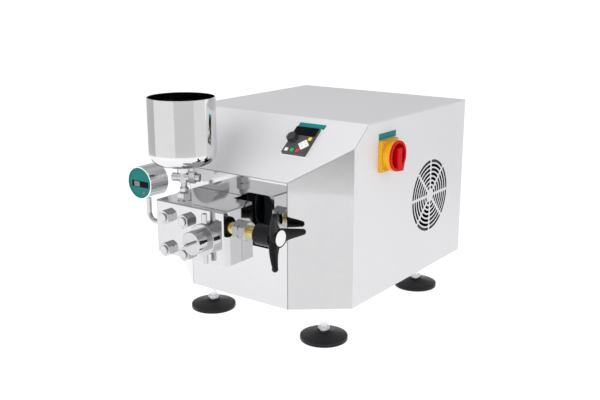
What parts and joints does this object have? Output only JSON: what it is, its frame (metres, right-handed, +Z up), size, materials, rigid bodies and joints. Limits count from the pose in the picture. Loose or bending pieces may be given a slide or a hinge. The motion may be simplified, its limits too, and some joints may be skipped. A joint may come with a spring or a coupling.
{
  "type": "high-pressure homogenizer",
  "caption": "Bench high-pressure homogenizer: steel pump block with feed hopper, pressure handle and gauge in front of a slope-topped drive cabinet on levelling feet.",
  "frame": {"origin": "middle of the footprint box, on the floor under the feet", "axes": "+X to the operator's right, +Y to the back of the machine, +Z up"},
  "size_m": [0.4568, 0.724, 0.479],
  "materials": {
    "case_sheet": "satin light grey paint",
    "mirror_steel": "mirror-polished stainless steel",
    "brushed_steel": "brushed stainless steel",
    "turned_steel": "fine-turned stainless steel",
    "zinc_steel": "zinc-plated steel",
    "cast_iron": "grey-blue machine enamel",
    "aluminium": "bare cast aluminium",
    "brass": "turned brass",
    "black_plastic": "matt black moulded plastic",
    "foot_rubber": "black rubber-faced plastic",
    "belt_rubber": "black belt rubber",
    "grey_plastic": "dark grey moulded plastic",
    "white_plastic": "white moulded plastic",
    "green_plastic": "green key plastic",
    "red_plastic": "red plastic",
    "yellow_plastic": "yellow plastic",
    "gauge_foil": "teal printed foil, bare",
    "packing": "cream sealing plastic",
    "inverter_plastic": "dark housing plastic"
  },
  "bodies": {
    "machine": {"base_tray": "brushed_steel", "top_cover": "case_sheet", "front_panel": "mirror_steel", "side_panels": "case_sheet", "rear_panel": "case_sheet", "cable_gland": "black_plastic", "foot_pads": "foot_rubber", "foot_stems": "zinc_steel", "foot_nuts": "zinc_steel", "pump_block": "mirror_steel", "block_studs": "turned_steel", "block_nuts": "turned_steel", "distance_piece": "turned_steel", "plunger_packing": "packing", "gland_nut": "turned_steel", "crankcase": "cast_iron", "crankcase_lid": "cast_iron", "crank_bearings": "turned_steel", "drive_belt": "belt_rubber", "motor_body": "aluminium", "drive_inverter": "inverter_plastic", "fan_frame": "black_plastic", "outlet_housing": "turned_steel", "outlet_spout": "turned_steel", "clamp_screws": "turned_steel", "valve_seat": "turned_steel", "impact_ring": "turned_steel", "valve_nut": "turned_steel", "spindle_bush": "brass", "inlet_stem": "turned_steel", "inlet_tee": "turned_steel", "tee_plugs": "turned_steel", "hopper": "brushed_steel", "check_seats": "turned_steel", "check_balls": "turned_steel", "check_springs": "turned_steel", "gauge_body": "turned_steel", "gauge_face": "gauge_foil", "gauge_pipe": "turned_steel", "keypad_body": "grey_plastic", "switch_plate": "yellow_plastic"},
    "plunger_set": {"plunger": "white_plastic", "crosshead": "turned_steel"},
    "crank_set": {"crankshaft": "turned_steel", "crank_pulley": "cast_iron"},
    "rod_set": {"connecting_rod": "cast_iron", "wrist_pin": "turned_steel"},
    "motor_rotor": {"motor_shaft": "turned_steel", "motor_pulley": "cast_iron"},
    "fan_wheel": {"fan_rotor": "black_plastic"},
    "valve_stem": {"valve_rod": "turned_steel", "disc_springs": "turned_steel"},
    "handle": {"star_handle": "black_plastic"},
    "knob": {"keypad_knob": "grey_plastic"},
    "white_button": {"white_key": "white_plastic"},
    "green_button": {"green_key": "green_plastic"},
    "red_button": {"red_key": "red_plastic"},
    "yellow_button": {"yellow_key": "yellow_plastic"},
    "navigator_button": {"navigator_pad": "white_plastic"},
    "isolator": {"switch_handle": "red_plastic"}
  },
  "joints": [
    {"name": "plunger_stroke", "type": "slide", "parent": "machine", "child": "plunger_set", "axis": [0, -1, 0], "range_m": [0, 0.016]},
    {"name": "crank_spin", "type": "hinge", "parent": "machine", "child": "crank_set", "pos_m": [-0.0584, 0.02, 0.229], "axis": [1, 0, 0], "continuous": true},
    {"name": "rod_swing", "type": "hinge", "parent": "crank_set", "child": "rod_set", "pos_m": [-0.0584, 0.028, 0.229], "axis": [1, 0, 0], "continuous": true},
    {"name": "motor_spin", "type": "hinge", "parent": "machine", "child": "motor_rotor", "pos_m": [0.0466, 0.215, 0.194], "axis": [1, 0, 0], "continuous": true},
    {"name": "fan_spin", "type": "hinge", "parent": "machine", "child": "fan_wheel", "pos_m": [0.1766, 0.19, 0.241], "axis": [1, 0, 0], "continuous": true},
    {"name": "valve_travel", "type": "slide", "parent": "machine", "child": "valve_stem", "axis": [-1, 0, 0], "range_m": [0, 0.003]},
    {"name": "handle_turn", "type": "hinge", "parent": "valve_stem", "child": "handle", "pos_m": [0.1276, -0.243, 0.2425], "axis": [-1, 0, 0], "range_deg": [0, 720]},
    {"name": "knob_turn", "type": "hinge", "parent": "machine", "child": "knob", "pos_m": [0.0681, -0.11536, 0.39456], "axis": [0, -0.6286, 0.7778], "range_deg": [-135, 135]},
    {"name": "white_press", "type": "slide", "parent": "machine", "child": "white_button", "axis": [0, 0.6286, -0.7778], "range_m": [0, 0.0008], "stiffness_N_per_m": 400},
    {"name": "green_press", "type": "slide", "parent": "machine", "child": "green_button", "axis": [0, 0.6286, -0.7778], "range_m": [0, 0.0008], "stiffness_N_per_m": 400},
    {"name": "red_press", "type": "slide", "parent": "machine", "child": "red_button", "axis": [0, 0.6286, -0.7778], "range_m": [0, 0.0008], "stiffness_N_per_m": 400},
    {"name": "yellow_press", "type": "slide", "parent": "machine", "child": "yellow_button", "axis": [0, 0.6286, -0.7778], "range_m": [0, 0.0008], "stiffness_N_per_m": 400},
    {"name": "navigator_press", "type": "slide", "parent": "machine", "child": "navigator_button", "axis": [0, 0.6286, -0.7778], "range_m": [0, 0.0008], "stiffness_N_per_m": 400},
    {"name": "isolator_turn", "type": "hinge", "parent": "machine", "child": "isolator", "pos_m": [0.2166, 0.004, 0.36], "axis": [1, 0, 0], "range_deg": [0, 90]}
  ],
  "couplings": [
    {"joint": "motor_spin", "follows": "crank_spin", "ratio": 3},
    {"joint": "rod_swing", "follows": "crank_spin", "ratio": -1},
    {"joint": "valve_travel", "follows": "handle_turn", "m_per_rad": 0.000238}
  ]
}
